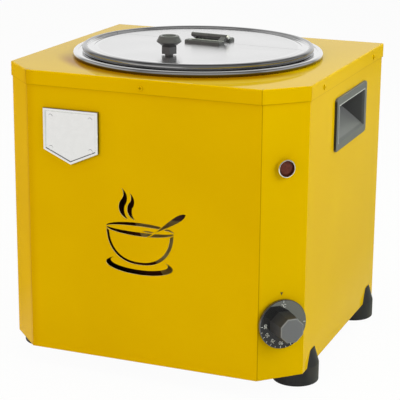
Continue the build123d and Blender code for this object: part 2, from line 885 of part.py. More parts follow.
def make_rivet():
    head = rod(1.6 * rivet_radius, 0, rivet_radius / 2)
    head = fillet(head.edges().sort_by(Axis.Z)[-1], rivet_radius / 3)
    tail_top = -badge_face - sheet
    return head + rod(rivet_radius, tail_top, 0) + rod(1.5 * rivet_radius, tail_top - rivet_radius, tail_top)


# Supply side
def make_cable_gland():
    neck = gland_flats * 0.43
    collar = gland_stand * 0.4
    dome = turned(
        [
            (0, collar),
            (neck, collar),
            (neck, gland_stand, gland_flats * 0.12),
            (0, gland_stand),
        ]
    )
    gland = hexagon(gland_flats, 0, collar) + dome + rod(gland_radius, -sheet - gland_thread, 0)
    return gland_plane * (gland - rod(gland_bore, -2 * gland_thread, 2 * gland_stand))


def make_gland_nut():
    nut = hexagon(gland_flats, -sheet - gland_nut, -sheet)
    return gland_plane * (nut - rod(gland_radius + screw_fit, -2 * gland_thread, gland_thread))


def make_terminal_block():
    x, y = terminal_place
    half = terminal_length / 2
    body = block((-half, -terminal_width / 2, 0), (half, terminal_width / 2, terminal_height))
    for way in range(terminal_ways):
        across = (way - (terminal_ways - 1) / 2) * terminal_length / terminal_ways
        for side in (-1, 1):
            well = rod(screw_head, terminal_height * 0.5, terminal_height * 1.1)
            body -= Pos(across, side * terminal_width / 4, 0) * well
    return Pos(x, y, base_top) * body


def make_earth_stud():
    x, y = terminal_place
    stud = hexagon(4 * screw_radius, 0, 2 * screw_radius) + rod(screw_radius, 0, terminal_height)
    return Pos(x + terminal_length / 2 + terminal_width, y, base_top) * stud


# Inner leads
def dial_point(across, up):
    return (dial_plane * Pos(across, up, -sheet - thermostat_depth)).position


def inward(point, distance):
    return point - Vector(*corner_out) * distance


def make_live_lead():
    x, y = terminal_place
    start = base_top + terminal_height
    run = start + 2 * lead_bend
    end = dial_point(thermostat_width / 4, 0)
    near = inward(end, 3 * lead_bend)
    clear_of_element = element_ring + 7 * element_radius
    points = [
        (x, y, start),
        (x, y, run),
        (clear_of_element, y, run),
        (near.X, near.Y, run),
        near,
        end,
    ]
    return bent_rod(points, lead_radius, lead_bend)


def make_element_lead():
    start = dial_point(-thermostat_width / 4, -thermostat_width / 4)
    x, y = element_end(1)
    leg = element_middle - element_leg
    points = [start, inward(start, 3 * lead_bend), (x, y, leg - 3 * lead_bend), (x, y, leg)]
    return bent_rod(points, lead_radius, lead_bend)


def make_neutral_lead():
    x, y = terminal_place
    across = x - terminal_length * 3 / 8
    front_of_block = y - terminal_width / 2
    low = base_top + terminal_height / 4
    end_x, end_y = element_end(-1)
    leg = element_middle - element_leg
    points = [
        (across, front_of_block, low),
        (across, -element_ring / 4, low),
        (end_x, end_y, low),
        (end_x, end_y, leg),
    ]
    return bent_rod(points, lead_radius, lead_bend)


def make_lamp_lead():
    lamp_end = (lamp_plane * Pos(0, 0, -sheet - lamp_body_length)).position
    body_end = dial_point(thermostat_width / 4, thermostat_width / 4)
    points = [lamp_end, inward(lamp_end, 2 * lead_bend), inward(body_end, 2 * lead_bend), body_end]
    return bent_rod(points, lead_radius, lead_bend)


# Assembly
lid_whole = make_lid()
knob_screw_hole = floor_plane(0, -knob_setback, plateau - lid_sheet, -1)
flap_screws = hinge_screw_places(1)
fixed_screws = hinge_screw_places(-1)
flap = lid_half(lid_whole, 1)
for place in flap_screws + [knob_screw_hole]:
    flap -= place * screw_hole(2 * lid_sheet)
rear_half = lid_half(lid_whole, -1)
for place in fixed_screws:
    rear_half -= place * screw_hole(2 * lid_sheet)
leaf_screw = screw(lid_sheet + leaf_thickness * 0.7)

nodes = {
    "casing_wrap": make_casing_wrap(),
    "top_cover": make_top_cover(),
    "rear_panel": make_rear_panel(),
    "base_plate": make_base_plate(),
    "heating_well": make_heating_well(),
    "heating_element": make_heating_element(),
    "element_clamp": make_element_clamp(),
    "clamp_nut": make_clamp_nut(),
    "thermostat_body": make_thermostat_body(),
    "thermostat_screws": group(screw(screw_length), thermostat_screw_places),
    "sensor_bulb": make_sensor_bulb(),
    "bulb_clip": make_bulb_clip(),
    "capillary_tube": make_capillary_tube(),
    "lamp_bezel": make_lamp_bezel(),
    "lamp_lens": make_lamp_lens(),
    "lamp_body": make_lamp_body(),
    "lamp_nut": make_lamp_nut(),
    "left_handle_cup": make_handle_cup(-1),
    "right_handle_cup": make_handle_cup(1),
    "badge_plate": make_badge_plate(),
    "badge_rivets": group(make_rivet(), rivet_places),
    "cover_screws": group(screw(screw_length), cover_screw_places),
    "rear_panel_screws": group(screw(screw_length), rear_screw_places),
    "base_screws": group(screw(screw_length), base_screw_places),
    "foot_screws": group(screw(2 * sheet + foot_screw_length - screw_fit), foot_screw_places),
    "cable_gland": make_cable_gland(),
    "gland_nut": make_gland_nut(),
    "terminal_block": make_terminal_block(),
    "earth_stud": make_earth_stud(),
    "live_lead": make_live_lead(),
    "element_lead": make_element_lead(),
    "neutral_lead": make_neutral_lead(),
    "lamp_lead": make_lamp_lead(),
    "soup_pot": make_soup_pot(),
    "thermostat_knob": make_thermostat_knob(),
    "thermostat_shaft": make_thermostat_shaft(),
}
for name, (x, y) in foot_places.items():
    nodes[name] = make_foot(x, y)

lid_nodes = {
    "lid_rear_half": rear_half,
    "hinge_rear_leaf": make_rear_leaf(),
    "hinge_pin": make_hinge_pin(),
    "rear_hinge_screws": group(leaf_screw, fixed_screws),
    "lid_front_half": flap,
    "hinge_front_leaf": make_front_leaf(),
    "front_hinge_screws": group(leaf_screw, flap_screws),
    "lid_knob": make_lid_knob(),
    "knob_screw": knob_screw_hole * screw(lid_sheet + knob_screw_length - screw_fit),
}
for name, shape in lid_nodes.items():
    nodes[name] = Rot(0, 0, lid_turn) * shape

os.makedirs("parts", exist_ok=True)
for name, shape in nodes.items():
    export_step(shape, "parts/" + name + ".step")
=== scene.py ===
import json
from math import atan2, pi, radians

import bmesh
import bpy
from mathutils import Euler, Matrix, Quaternion, Vector


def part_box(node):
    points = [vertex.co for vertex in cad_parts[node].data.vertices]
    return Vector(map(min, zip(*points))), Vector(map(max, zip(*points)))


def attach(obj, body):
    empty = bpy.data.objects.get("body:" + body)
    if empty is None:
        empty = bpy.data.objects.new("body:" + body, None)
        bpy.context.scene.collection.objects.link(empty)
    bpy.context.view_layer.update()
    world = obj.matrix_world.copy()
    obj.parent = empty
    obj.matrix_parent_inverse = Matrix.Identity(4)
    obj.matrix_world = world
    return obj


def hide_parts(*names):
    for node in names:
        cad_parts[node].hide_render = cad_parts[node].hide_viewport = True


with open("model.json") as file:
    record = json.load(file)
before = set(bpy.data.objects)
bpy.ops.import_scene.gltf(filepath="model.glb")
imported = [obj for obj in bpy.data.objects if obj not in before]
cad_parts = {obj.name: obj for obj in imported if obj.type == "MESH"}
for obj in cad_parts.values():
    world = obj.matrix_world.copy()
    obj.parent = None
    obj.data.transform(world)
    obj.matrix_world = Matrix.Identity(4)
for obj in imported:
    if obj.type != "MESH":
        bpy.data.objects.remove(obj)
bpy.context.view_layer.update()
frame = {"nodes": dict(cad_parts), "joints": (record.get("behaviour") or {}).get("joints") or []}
node = frame["nodes"]
joint = {row["name"]: row for row in frame["joints"]}


# Casing: folded steel sheet under a glossy yellow lacquer. One wrap makes the front, both cut corners
# and the sides, a closed panel the back, and the cover's skirt slips over their upper edges. Painted
# shade darkens the lacquer along the folds, under the skirt's edge, along the lower edge and in the
# screw slots, and a painted reflection and shadow of the pot darkens it in front of the pot. The bowl's
# cut edges are bare steel, painted pale as a highlight.
class Field:
    """A socket whose value varies over a surface. Arithmetic on it adds Math nodes to its material."""

    def __init__(self, socket):
        self.socket = socket

    def node(self, kind, settings=None, inputs=None, output=0):
        made = self.socket.id_data.nodes.new(kind)
        for name, value in (settings or {}).items():
            setattr(made, name, value)
        for key, value in (inputs or {}).items():
            join(value, made.inputs[key])
        return Field(made.outputs[output])

    def math(self, operation, first, second=0.0):
        return self.node("ShaderNodeMath", {"operation": operation}, {0: first, 1: second})

    def size(self):
        return self.math("ABSOLUTE", self)

    def between(self, low, high, new_low=0.0, new_high=1.0):
        ends = {1: low, 2: high, 3: new_low, 4: new_high}
        return self.node("ShaderNodeMapRange", {"interpolation_type": "SMOOTHSTEP"}, {0: self, **ends})

    def near(self, value, reach):
        return (self - value).size().between(0.0, reach, 1.0, 0.0)

    def span(self, low, high, soft):
        return self.between(low - soft, low) * self.between(high + soft, high)

    def mix(self, first, second):
        return self.node("ShaderNodeMix", {"data_type": "RGBA"}, {0: self, 6: first, 7: second}, output=2)

    def noise(self, scale, detail=2.0, dimensions="3D"):
        key = "W" if dimensions == "1D" else "Vector"
        settings = {"noise_dimensions": dimensions}
        return self.node("ShaderNodeTexNoise", settings, {key: self, "Scale": scale, "Detail": detail})

    def scaled(self, scale):
        return self.node("ShaderNodeMapping", {}, {"Vector": self, "Scale": scale})

    def axes(self):
        made = self.node("ShaderNodeSeparateXYZ", {}, {0: self}).socket.node
        return [Field(socket) for socket in made.outputs]

    def along(self, axis):
        return self.node("ShaderNodeVectorMath", {"operation": "DOT_PRODUCT"}, {0: self, 1: axis}, output=1)

    def from_axis(self):
        flat = self.scaled((1.0, 1.0, 0.0))
        return self.node("ShaderNodeVectorMath", {"operation": "LENGTH"}, {0: flat}, output=1)

    def bump(self, strength, distance):
        return self.node("ShaderNodeBump", {}, {"Height": self, "Strength": strength, "Distance": distance})

    def __add__(self, other):
        return self.math("ADD", self, other)

    def __radd__(self, other):
        return self.math("ADD", other, self)

    def __sub__(self, other):
        return self.math("SUBTRACT", self, other)

    def __rsub__(self, other):
        return self.math("SUBTRACT", other, self)

    def __mul__(self, other):
        return self.math("MULTIPLY", self, other)

    def __rmul__(self, other):
        return self.math("MULTIPLY", other, self)


def join(value, socket):
    if isinstance(value, Field):
        socket.id_data.links.new(value.socket, socket)
    elif isinstance(socket.default_value, (int, float)):
        socket.default_value = value
    else:
        socket.default_value = (*value, 1.0)[:len(socket.default_value)]


def finish(name, constants):
    material = bpy.data.materials.new(name)
    material.use_nodes = True
    dress(material, constants)
    coordinates = material.node_tree.nodes.new("ShaderNodeTexCoord")
    return material, Field(coordinates.outputs["Object"])


def dress(material, inputs):
    shader = material.node_tree.nodes["Principled BSDF"]
    for key, value in inputs.items():
        join(value, shader.inputs[key])


def wear(material, *names):
    for name in names:
        for slot in node[name].material_slots:
            slot.material = material


cover_low, cover_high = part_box("top_cover")
wrap_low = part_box("casing_wrap")[0]
sheet = 0.001
corner_cut = 0.040
front_from = -0.155
front_soft = 0.003
fold_reach = 0.0008
shade_reach = 0.012
edge_shadow_reach = 0.0007
ring_in, ring_out = 0.148, 0.164
ring_front, ring_side = -0.10, -0.04
top_skin = 0.0002
head_rise = 0.0012
slot_soft = 0.0001
figure_half = 0.055
figure_soft = 0.005
lacquer_yellow = (0.73, 0.450, 0.0)
lacquer_deep = (0.70, 0.425, 0.0)
painted_crease_shade = (0.36, 0.19, 0.0)
painted_fold_shade = (0.58, 0.31, 0.0)
pot_reflection_shade = (0.43, 0.19, 0.0)
bare_edge_highlight = (0.80, 0.70, 0.42)
lacquer, place = finish("yellow_lacquer", {"IOR": 1.12, "Specular Tint": (1.0, 0.70, 0.02)})
x, y, z = place.axes()
across = x.size()
on_front = y.between(front_from, front_from - front_soft)
front_fold = across.near(cover_high.x - corner_cut, fold_reach) * on_front
left_fold = x.near(corner_cut - cover_high.x, shade_reach) * on_front
edge_shadow = z.near(cover_low.z, edge_shadow_reach) + z.near(wrap_low.z, edge_shadow_reach)
on_top = z.between(cover_high.z - 2 * top_skin, cover_high.z - top_skin)
pot_ring = place.from_axis().between(ring_out, ring_in) * y.between(ring_side, ring_front) * on_top
outward = place.math("MAXIMUM", across - cover_high.x, cover_low.y - y)
screw_slot = outward.between(0.0, slot_soft) * outward.between(0.6 * head_rise, 0.5 * head_rise)
in_sheet = y.near(wrap_low.y + sheet / 2, 0.45 * sheet)
cut_edge = in_sheet * across.between(figure_half + figure_soft, figure_half)
coat = place.noise(7.0).between(0.3, 0.7).mix(lacquer_deep, lacquer_yellow)
# Painted shade in a band beside the left fold.
coat = (0.5 * left_fold).mix(coat, painted_fold_shade)
# Painted reflection and shadow of the pot: a dark ring on the cover in front of it.
coat = pot_ring.mix(coat, pot_reflection_shade)
# Painted shade along the front folds, under the cover's skirt and along the wrap's lower edge.
coat = (0.75 * front_fold + 0.6 * edge_shadow).mix(coat, painted_crease_shade)
# Painted shade in the screw heads' slots.
coat = (0.85 * screw_slot).mix(coat, painted_crease_shade)
dress(lacquer, {
    # The bowl's bare cut edges, painted pale as a highlight.
    "Base Color": cut_edge.between(0.0, 0.3).mix(coat, bare_edge_highlight),
    "Roughness": 0.05 + 0.03 * place.noise(30.0),
    "Normal": place.noise(160.0, 1.0).bump(0.02, 0.0001),
})
wear(lacquer, "casing_wrap", "top_cover", "rear_panel", "cover_screws")


# Base plate, clamp bar and small hardware: zinc plated steel with the faint crystal bloom that plating
# leaves and fine rubbing marks from the press.
def plated(name, color, roughness, bloom_depth=0.82, metallic=1.0):
    material, place = finish(name, {"Metallic": metallic})
    bloom = place.noise(160.0, 4.0)
    rubbed = place.scaled((30.0, 900.0, 900.0)).noise(1.0, 3.0)
    dark = tuple(bloom_depth * channel for channel in color)
    dress(material, {
        "Base Color": bloom.between(0.35, 0.65).mix(dark, color),
        "Roughness": roughness + 0.14 * rubbed,
        "Normal": rubbed.bump(0.06, 0.0001),
    })
    return material


zinc = plated("zinc_plate", (0.66, 0.66, 0.64), 0.28)
wear(zinc, "base_plate", "element_clamp", "clamp_nut", "bulb_clip", "lamp_nut", "rear_panel_screws",
     "base_screws", "foot_screws", "thermostat_screws", "rear_hinge_screws", "front_hinge_screws",
     "knob_screw", "thermostat_shaft")


# Feet: black rubber mouldings under the side panels, each with a tongue up the outside and a screw down
# through the base. The skin is dull, with a fine grain from the mould.
def mould_skin(material, place, roughness, grain, depth):
    bloom = place.noise(55.0, 3.0)
    dress(material, {
        "Roughness": roughness + 0.08 * bloom,
        "Normal": place.noise(grain).bump(0.2, depth),
    })
    return bloom


def moulded(name, color, roughness, grain, depth):
    material, place = finish(name, {"IOR": 1.5})
    bloom = mould_skin(material, place, roughness, grain, depth)
    pale = tuple(1.35 * channel for channel in color)
    dress(material, {"Base Color": bloom.between(0.4, 0.75).mix(color, pale)})
    return material


rubber = moulded("foot_rubber", (0.016, 0.016, 0.018), 0.42, 1400.0, 0.0001)
wear(rubber, "front_left_foot", "rear_left_foot", "front_right_foot", "rear_right_foot")


# Heating well: deep-drawn stainless steel, hung in the cover's hole, so that its wall shows through the
# bowl cut in the front. There its wall is painted straw yellow as a reflection of the casing's yellow
# inside, and painted brown as shade to one side and above.
def spun_steel(name, roughness, ring_scale, ring_depth, metallic=1.0, satin=0.0, satin_edge=0.0):
    material, place = finish(name, {"Metallic": metallic})
    reach = place.from_axis()
    rings = reach.noise(ring_scale, 3.0, "1D")
    dull = roughness + 0.05 * rings + 0.02 * place.noise(14.0)
    if satin:
        dull = dull + satin * reach.between(satin_edge, satin_edge - 0.002)
    dress(material, {"Roughness": dull, "Normal": rings.bump(0.04, ring_depth)})
    return material, place


well_yellow_reflection = (0.62, 0.47, 0.14)
well_painted_shade = (0.16, 0.05, 0.015)
brown_slope = 0.62
brown_from, brown_to = 0.0836, 0.0816
brown_low, brown_high = 0.177, 0.179
well_steel, place = spun_steel("well_steel", 0.22, 700.0, 0.0001, metallic=0.25)
x, y, z = place.axes()
beside_bowl = (x + brown_slope * z).between(brown_from, brown_to)
shaded_side = place.math("MAXIMUM", beside_bowl, z.between(brown_low, brown_high))
# Painted brown shade beside the bowl figure and above it, over a painted yellow reflection of the casing's
# inside.
dress(well_steel, {"Base Color": shaded_side.mix(well_yellow_reflection, well_painted_shade)})
wear(well_steel, "heating_well")


# Soup pot: stainless steel, spun and polished, with its edge rolled into a full round bead that rests
# on the cover round the hole. The bead's underside is painted dark as shade.
def spun(corners, steps=192):
    bm = bmesh.new()
    rounded = []
    for reach, height, *soft in corners:
        rounded.append((bm.verts.new((reach, 0.0, height)), soft))
    bm.faces.new([vert for vert, soft in rounded])
    for vert, soft in rounded:
        if soft:
            bmesh.ops.bevel(bm, geom=[vert], offset=soft[0], offset_type="OFFSET", affect="VERTICES",
                            segments=8, profile=0.5, material=-1)
    bmesh.ops.delete(bm, geom=bm.faces[:], context="FACES_ONLY")
    on_axis = [edge for edge in bm.edges if all(vert.co.x < 1e-7 for vert in edge.verts)]
    bmesh.ops.delete(bm, geom=on_axis, context="EDGES")
    bmesh.ops.spin(bm, geom=bm.verts[:] + bm.edges[:], cent=(0.0, 0.0, 0.0), axis=(0.0, 0.0, 1.0),
                   angle=2.0 * pi, steps=steps, use_merge=True)
    bmesh.ops.remove_doubles(bm, verts=bm.verts[:], dist=1e-7)
    return bm


def piece(name, bm, material, body, replaced=(), place=Matrix.Identity(4), crease=32.0):
    bmesh.ops.transform(bm, matrix=place, verts=bm.verts[:])
    bmesh.ops.recalc_face_normals(bm, faces=bm.faces[:])
    mesh = bpy.data.meshes.new(name)
    bm.to_mesh(mesh)
    bm.free()
    mesh.shade_smooth()
    mesh.set_sharp_from_angle(angle=radians(crease))
    mesh.materials.append(material)
    made = bpy.data.objects.new(name, mesh)
    bpy.context.scene.collection.objects.link(made)
    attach(made, body)
    for solid in replaced:
        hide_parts(solid)


pot_low, pot_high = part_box("soup_pot")
cover_top = cover_high.z
pot_sheet = 0.001
bead = 0.006
flange_top = cover_top + 0.005
flange_width = 0.0115
pot_inside = pot_high.x - bead - flange_width
pot_round = 0.014
neck_round = 0.0015
throat_round = 0.0025
bead_low_in, bead_low_out, bead_high_out, bead_high_in = 0.0024, 0.0028, 0.0031, 0.0014
under_low, under_high = cover_top + 0.0030, cover_top + 0.0044
under_in, under_out = pot_high.x - 0.0014, pot_high.x - 0.0006
pot_grey = (0.86, 0.86, 0.86)
bead_painted_shade = (0.16, 0.16, 0.16)
polish, place = spun_steel("polished_steel", 0.045, 900.0, 0.00002)
rolled = place.from_axis().between(under_in, under_out)
under = place.axes()[2].between(under_high, under_low)
# Painted shade on the underside of the rolled bead.
dress(polish, {"Base Color": (rolled * under).mix(pot_grey, bead_painted_shade)})
pot = spun([
    (0.0, pot_low.z),
    (pot_inside + pot_sheet, pot_low.z, pot_round),
    (pot_inside + pot_sheet, flange_top - pot_sheet, neck_round),
    (pot_high.x - bead, flange_top - pot_sheet),
    (pot_high.x - bead, cover_top, bead_low_in),
    (pot_high.x, cover_top, bead_low_out),
    (pot_high.x, pot_high.z, bead_high_out),
    (pot_high.x - bead, pot_high.z, bead_high_in),
    (pot_high.x - bead, flange_top),
    (pot_inside, flange_top, throat_round),
    (pot_inside, pot_low.z + pot_sheet, pot_round - pot_sheet),
    (0.0, pot_low.z + pot_sheet),
])
piece("polished_pot", pot, polish, "pot", ["soup_pot"])


# Lid: one polished stainless pressing with a rolled rim, a gutter and a raised middle, sawn across into
# a fixed rear half and a front half that tips up. The middle is satin, and the rim is painted darker as
# shade.
hinge_line = Vector(joint["flap_hinge"]["axis"])
hinge_place = Vector(joint["flap_hinge"]["pos_m"])
lid_turn = Matrix.Rotation(atan2(-hinge_line.y, -hinge_line.x), 4, "Z")
hinge_setback = (lid_turn.inverted() @ hinge_place).y
flap_low, flap_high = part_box("lid_front_half")
lid_split = 0.0005
lid_sheet = 0.001
lid_radius = pot_high.x - bead - 0.0045
lid_seat = flange_top
lid_top = flap_high.z
rim_round = 0.0028
rim_in = lid_radius - 0.006
gutter_in = rim_in - 0.007
gutter_round = 0.0010
plateau = lid_top - 0.002
plateau_edge = gutter_in - 0.0016
plateau_round = 0.0012
plateau_under = gutter_in - 0.002
gutter_top = plateau - 0.0008
gutter_under = gutter_top - lid_sheet
spigot = pot_inside - 0.002
spigot_low = flap_low.z


def lid_half(side):
    bm = spun([
        (0.0, plateau),
        (plateau_edge, plateau, plateau_round),
        (gutter_in, gutter_top, gutter_round),
        (rim_in, gutter_top, gutter_round),
        (rim_in, lid_top, rim_round),
        (lid_radius, lid_top, rim_round),
        (lid_radius, lid_seat, rim_round),
        (rim_in, lid_seat, rim_round / 2),
        (rim_in, gutter_under),
        (spigot, gutter_under),
        (spigot, spigot_low),
        (spigot - lid_sheet, spigot_low),
        (spigot - lid_sheet, gutter_under),
        (gutter_in, gutter_under),
        (plateau_under, plateau - lid_sheet),
        (0.0, plateau - lid_sheet),
    ])
    cut = bmesh.ops.bisect_plane(bm, geom=bm.verts[:] + bm.edges[:] + bm.faces[:], dist=1e-7,
                                 plane_co=(0.0, hinge_setback - side * lid_split / 2, 0.0),
                                 plane_no=(0.0, side, 0.0), clear_outer=True)
    sawn = [item for item in cut["geom_cut"] if isinstance(item, bmesh.types.BMEdge)]
    bmesh.ops.holes_fill(bm, edges=sawn, sides=0)
    return bm


lid_bright = (0.87, 0.87, 0.87)
lid_hazy = (0.8265, 0.8265, 0.8265)
rim_painted_shade = (0.3654, 0.3654, 0.3654)
rim_soft = 0.001
satin_edge = gutter_in - 0.004
lid_steel, place = spun_steel("lid_steel", 0.05, 900.0, 0.00002, satin=0.16, satin_edge=satin_edge)
lid_tone = place.noise(14.0).between(0.35, 0.7).mix(lid_hazy, lid_bright)
on_rim = place.from_axis().between(rim_in, rim_in + rim_soft)
# The rim is painted dark grey as shade.
dress(lid_steel, {"Base Color": on_rim.mix(lid_tone, rim_painted_shade)})
piece("lid_front", lid_half(1.0), lid_steel, "lid_flap", ["lid_front_half"], lid_turn)
piece("lid_rear", lid_half(-1.0), lid_steel, "lid", ["lid_rear_half"], lid_turn)


# Hinge, lid knob and cable gland: black plastic mouldings with a satin skin. The hinge's two leaves turn
# on a nickelled pin, and the front leaf has a painted highlight along its top edge.
plastic_black = (0.092, 0.092, 0.093)
plastic_gloss = 0.20
plastic_grain = 2600.0
grain_depth = 0.00004
highlight_pale = (0.80, 0.80, 0.80)
leaf_top = plateau + 0.0038
leaf_skin = 0.0004
leaf_edge = 0.0085
edge_width = 0.003
edge_soft = 0.001
plastic = moulded("black_plastic", plastic_black, plastic_gloss, plastic_grain, grain_depth)
wear(plastic, "hinge_rear_leaf", "lid_knob", "cable_gland", "gland_nut")
highlit_plastic, place = finish("highlit_plastic", {"IOR": 1.5})
mould_skin(highlit_plastic, place, plastic_gloss, plastic_grain, grain_depth)
ahead = lid_turn.to_3x3() @ Vector((0.0, -1.0, 0.0))
apart = place.along(ahead) - ahead.dot(hinge_place)
# A painted highlight along the front leaf's top edge.
bright_edge = apart.span(leaf_edge, leaf_edge + edge_width, edge_soft)
bright_edge = bright_edge * place.axes()[2].near(leaf_top, leaf_skin)
dress(highlit_plastic, {"Base Color": bright_edge.mix(plastic_black, highlight_pale)})
wear(highlit_plastic, "hinge_front_leaf")
nickel = plated("pin_nickel", (0.90, 0.89, 0.86), 0.35, metallic=0.1)
wear(nickel, "hinge_pin")


# Handles: black plastic cups set into the side panels, each with a bezel round a pocket for the
# fingers. The bezel's inner lip has a painted highlight and its outer sides painted shade, and the
# pocket has painted light low down, with painted shade above and on its rear end wall.
cup_low, cup_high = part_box("right_handle_cup")
cup_edge = 0.0012
cup_border = 0.009
lip_reach = 0.0016
bezel_under = cup_high.x - 0.002
pocket_from = cup_high.x - 0.004
front_lip, rear_lip = cup_low.y + cup_border, cup_high.y - cup_border
lower_lip, upper_lip = cup_low.z + cup_border, cup_high.z - cup_border
shade_from = (cup_low.z + cup_high.z) / 2 - 0.004
shade_to = cup_high.z - 0.014
bezel_grey = (0.13, 0.13, 0.13)
lip_highlight = (0.60, 0.60, 0.60)
pocket_painted_light = (0.21, 0.21, 0.21)
pocket_painted_shade = (0.10, 0.10, 0.10)
end_painted_shade = (0.085, 0.085, 0.085)
flank_painted_shade = (0.012, 0.012, 0.012)
cup_plastic, place = finish("handle_plastic", {"IOR": 1.5})
mould_skin(cup_plastic, place, 0.40, 1500.0, 0.00006)
x, y, z = place.axes()
flank = y.near(cup_low.y, cup_edge) + y.near(cup_high.y, cup_edge) + z.near(cup_low.z, cup_edge)
depth = x.size().between(bezel_under, pocket_from)
end_wall = place.node("ShaderNodeNewGeometry", output=1).axes()[1].between(-0.3, -0.6)
# Painted light on the pocket's lower floor, painted shade above it and on its rear end wall.
pocket = end_wall.mix(z.between(shade_from, shade_to).mix(pocket_painted_light, pocket_painted_shade), end_painted_shade)
front_line = y.near(front_lip, lip_reach) * z.span(lower_lip, upper_lip, lip_reach)
upper_line = z.near(upper_lip, lip_reach) * y.span(front_lip, rear_lip, lip_reach)
lip_line = (front_line + upper_line) * (1.0 - depth)
# A painted highlight along the bezel's inner lip.
cup_tone = lip_line.mix(depth.mix(bezel_grey, pocket), lip_highlight)
# Painted shade along the bezel's outer sides.
dress(cup_plastic, {"Base Color": flank.mix(cup_tone, flank_painted_shade)})
wear(cup_plastic, "left_handle_cup", "right_handle_cup")


# Thermostat dial: a glossy black disc with an eight-sided grip, printed in white with the temperature
# scale. The grip's front face has painted light and its sides painted shade, with a painted highlight
# round its front edge. A printed pointer on the corner face above it shows the setting.
turn_axis = -Vector(joint["knob_turn"]["axis"])
dial_right = Vector((0.0, 0.0, 1.0)).cross(turn_axis).normalized()
dial_frame = Matrix((dial_right, Vector((0.0, 0.0, 1.0)), turn_axis)).transposed().to_4x4()
dial_frame.translation = Vector(joint["knob_turn"]["pos_m"])
dial_seat = turn_axis.dot(dial_frame.translation)
dial_low, dial_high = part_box("thermostat_knob")
dial_radius = (dial_high.z - dial_low.z) / 2
dial_face = 0.0056
grip_face = max(turn_axis.dot(vert.co) for vert in node["thermostat_knob"].data.vertices) - dial_seat
disc_black = (0.014, 0.014, 0.015)
grip_side_shade = (0.030, 0.030, 0.031)
grip_face_light = (0.150, 0.153, 0.165)
grip_edge_highlight = (0.35, 0.35, 0.35)
dial_gloss, place = finish("dial_plastic", {"IOR": 1.4, "Coat IOR": 2.0, "Coat Roughness": 0.03})
stand = place.along(turn_axis) - dial_seat
grip = stand.between(dial_face + 0.0004, dial_face + 0.0012)
# Painted light on the grip's front face and painted shade on its sides.
grip_tone = stand.between(grip_face - 0.0008, grip_face - 0.0004).mix(grip_side_shade, grip_face_light)
# A painted highlight round the grip's front edge.
grip_tone = (0.7 * stand.near(grip_face - 0.0007, 0.0006)).mix(grip_tone, grip_edge_highlight)
dress(dial_gloss, {
    "Base Color": grip.mix(disc_black, grip_tone),
    "Roughness": 0.06 + 0.05 * place.noise(55.0, 3.0) + 0.35 * grip,
    "Coat Weight": 1.0 - grip,
    "Normal": place.noise(1800.0).bump(0.2, 0.00003),
})
wear(dial_gloss, "thermostat_knob")
print_depth = 0.00006
numbers = ["30", "50", "70", "90", "110"]
number_size = 0.0052
number_reach = dial_radius - 0.0068
first_mark = 180.0
mark_step = 28.0
unit_mark = 90.0
stop_mark = 0.0
tick_out = dial_radius - 0.0009
tick_width = 0.0006
long_tick = 0.0026
short_tick = 0.0015


def tick(bm, length, angle):
    size = Matrix.Diagonal((length, tick_width, 2 * print_depth, 1.0))
    middle = Matrix.Translation((tick_out - length / 2, 0.0, dial_face))
    bmesh.ops.create_cube(bm, size=1.0, matrix=Matrix.Rotation(radians(angle), 4, "Z") @ middle @ size)


def letters(bm, text, angle):
    curve = bpy.data.curves.new("dial_text", "FONT")
    curve.body = text
    curve.size = number_size
    curve.align_x = "CENTER"
    curve.align_y = "CENTER"
    curve.extrude = print_depth
    writer = bpy.data.objects.new("dial_text", curve)
    bpy.context.scene.collection.objects.link(writer)
    mesh = bpy.data.meshes.new_from_object(writer.evaluated_get(bpy.context.evaluated_depsgraph_get()))
    turn = Matrix.Rotation(radians(angle - 90.0), 4, "Z")
    mesh.transform(turn @ Matrix.Translation((0.0, number_reach, dial_face)))
    bm.from_mesh(mesh)
    bpy.data.objects.remove(writer)
    bpy.data.meshes.remove(mesh)
    bpy.data.curves.remove(curve)


def printed(name, pale, dark, wear_scale, roughness):
    material, place = finish(name, {})
    worn = place.noise(wear_scale)
    dress(material, {
        "Base Color": worn.between(0.3, 0.7).mix(dark, pale),
        "Roughness": roughness + 0.1 * worn,
    })
    return material


marks = bmesh.new()
tick(marks, long_tick, unit_mark)
tick(marks, long_tick, stop_mark)
letters(marks, "°C", unit_mark)
for row, text in enumerate(numbers):
    angle = first_mark + mark_step * row
    tick(marks, long_tick, angle)
    letters(marks, text, angle)
    tick(marks, short_tick, angle + mark_step / 2)
white_ink = printed("white_ink", (0.80, 0.80, 0.78), (0.62, 0.62, 0.60), 900.0, 0.45)
piece("dial_marks", marks, white_ink, "dial", place=dial_frame)

pointer_lift = 0.0324
pointer_width = 0.0034
pointer_height = 0.0038
pointer_low, pointer_high = pointer_lift - pointer_height / 2, pointer_lift + pointer_height / 2
pointer = bmesh.new()
outline = [(-pointer_width / 2, pointer_high), (0.0, pointer_low), (pointer_width / 2, pointer_high)]
flat = pointer.faces.new([pointer.verts.new((right, rise, -print_depth)) for right, rise in outline])
raised = bmesh.ops.extrude_face_region(pointer, geom=[flat])
lifted = [item for item in raised["geom"] if isinstance(item, bmesh.types.BMVert)]
bmesh.ops.translate(pointer, vec=(0.0, 0.0, 2 * print_depth), verts=lifted)
brown_ink = printed("brown_ink", (0.07, 0.035, 0.006), (0.035, 0.018, 0.004), 700.0, 0.4)
piece("setting_pointer", pointer, brown_ink, "casing", place=dial_frame)


# Pilot lamp: a chromed bezel through the corner face, held by a nut behind, with a dark red lens set
# back in its mouth.
lens_dark = (0.10, 0.025, 0.016)
lens_red = (0.14, 0.032, 0.020)
wear(plated("bright_chrome", (0.88, 0.86, 0.82), 0.04, 0.97), "lamp_bezel")
lens, place = finish("red_lens", {"IOR": 1.25})
facets = place.noise(500.0, 1.0)
dress(lens, {
    "Base Color": facets.between(0.3, 0.7).mix(lens_dark, lens_red),
    "Roughness": 0.12 + 0.1 * facets,
})
wear(lens, "lamp_lens")


